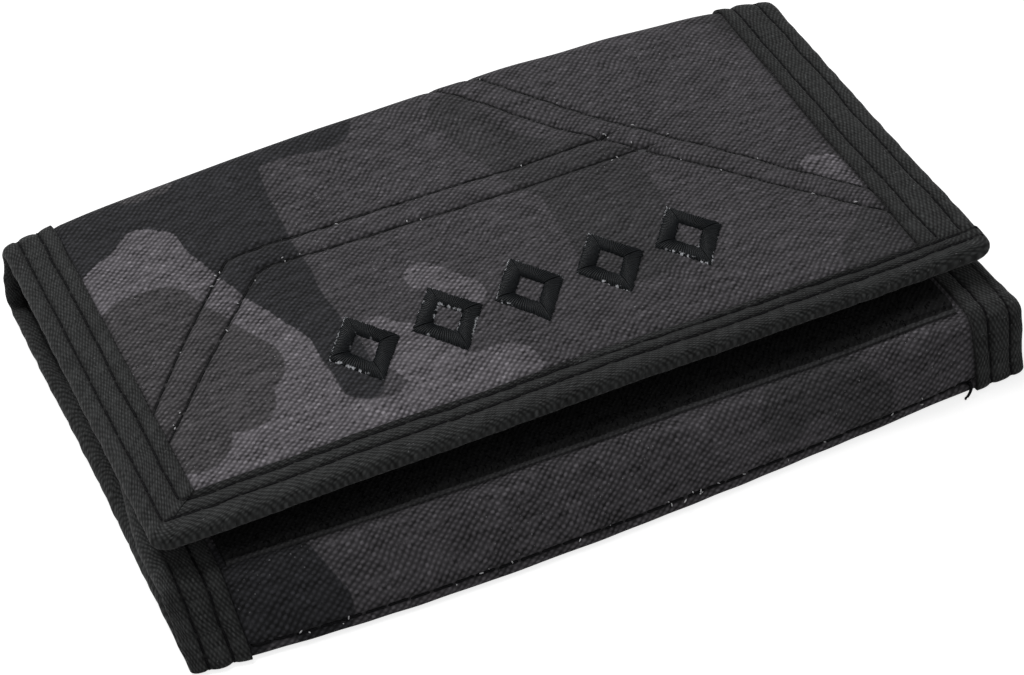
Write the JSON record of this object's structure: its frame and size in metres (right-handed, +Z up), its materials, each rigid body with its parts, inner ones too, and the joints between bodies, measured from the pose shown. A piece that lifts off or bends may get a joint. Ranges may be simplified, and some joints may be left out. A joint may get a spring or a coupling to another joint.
{
  "type": "trifold wallet",
  "caption": "Closed fabric trifold wallet with a bound cover flap, folding coin panel with a zipper, card pockets and a note compartment.",
  "frame": {"origin": "middle of the closed wallet's underside, where it lies on a table", "axes": "+X along the folds, the longest side; +Y towards the far fold that the cover flap turns on; +Z up through the cover, the shortest side"},
  "size_m": [0.14, 0.085, 0.017],
  "materials": {
    "outer_cloth": "printed woven polyester in charcoal and mauve grey camouflage",
    "webbing": "ribbed woven binding tape, charcoal",
    "lining": "plain woven lining, near black",
    "foam": "soft padding, hidden",
    "hooks": "hook side of the closure, black",
    "loops": "loop side of the closure, black pile",
    "thread": "black embroidery thread with a soft sheen",
    "window": "clear flexible sheet",
    "zip_tape": "woven zipper tape, black",
    "zip_teeth": "moulded, black",
    "zip_metal": "dark lacquered die-cast metal"
  },
  "bodies": {
    "back": {"back_shell": "outer_cloth", "back_binding_left": "webbing", "back_binding_right": "webbing", "note_divider": "lining", "card_pocket_rear": "lining", "card_pocket_middle": "lining", "card_pocket_front": "lining", "id_window": "window"},
    "cover_spine": {"cover_spine_shell": "outer_cloth", "cover_spine_lining": "lining", "cover_spine_binding_left": "webbing", "cover_spine_binding_right": "webbing"},
    "cover": {"cover_shell": "outer_cloth", "cover_foam": "foam", "cover_lining": "lining", "cover_binding": "webbing", "hook_tape": "hooks", "cover_motif": "thread"},
    "inner_spine": {"inner_spine_shell": "outer_cloth", "inner_spine_lining": "lining", "inner_spine_binding_left": "webbing", "inner_spine_binding_right": "webbing"},
    "inner_panel": {"inner_shell": "outer_cloth", "inner_lining": "lining", "inner_binding": "webbing", "loop_tape": "loops", "coin_gusset": "lining", "coin_pocket_near": "lining", "coin_pocket_far": "lining", "zip_tape_near": "zip_tape", "zip_tape_far": "zip_tape", "zip_teeth_near": "zip_teeth", "zip_teeth_far": "zip_teeth", "zip_top_stops": "zip_teeth", "zip_bottom_stop": "zip_teeth"},
    "zip_slider": {"zip_slider": "zip_metal"},
    "zip_pull": {"zip_pull": "zip_metal"}
  },
  "joints": [
    {"name": "cover_spine_fold", "type": "hinge", "parent": "back", "child": "cover_spine", "pos_m": [0, 0.0425, 0], "axis": [-1, 0, 0], "range_deg": [0, 90]},
    {"name": "cover_fold", "type": "hinge", "parent": "cover_spine", "child": "cover", "pos_m": [0, 0.0425, 0.017], "axis": [-1, 0, 0], "range_deg": [0, 90]},
    {"name": "inner_spine_fold", "type": "hinge", "parent": "back", "child": "inner_spine", "pos_m": [0, -0.0425, 0], "axis": [1, 0, 0], "range_deg": [0, 120.12]},
    {"name": "inner_fold", "type": "hinge", "parent": "inner_spine", "child": "inner_panel", "pos_m": [0, -0.0365, 0.01035], "axis": [1, 0, 0], "range_deg": [0, 59.92]},
    {"name": "zip_slide", "type": "slide", "parent": "inner_panel", "child": "zip_slider", "axis": [-1, 0, 0], "range_m": [0, 0.0945], "deforming": ["zip_teeth_near", "zip_teeth_far"]},
    {"name": "zip_pull_swing", "type": "hinge", "parent": "zip_slider", "child": "zip_pull", "pos_m": [0.04725, -0.02801, 0.00472], "axis": [0, -1, 0], "range_deg": [0, 150]}
  ],
  "couplings": [
    {"joint": "cover_fold", "follows": "cover_spine_fold", "ratio": 1},
    {"joint": "inner_spine_fold", "follows": "cover_spine_fold", "ratio": 1.3345},
    {"joint": "inner_fold", "follows": "cover_spine_fold", "ratio": 0.66554},
    {"joint": "zip_pull_swing", "follows": "cover_spine_fold", "ratio": 1.6656}
  ]
}
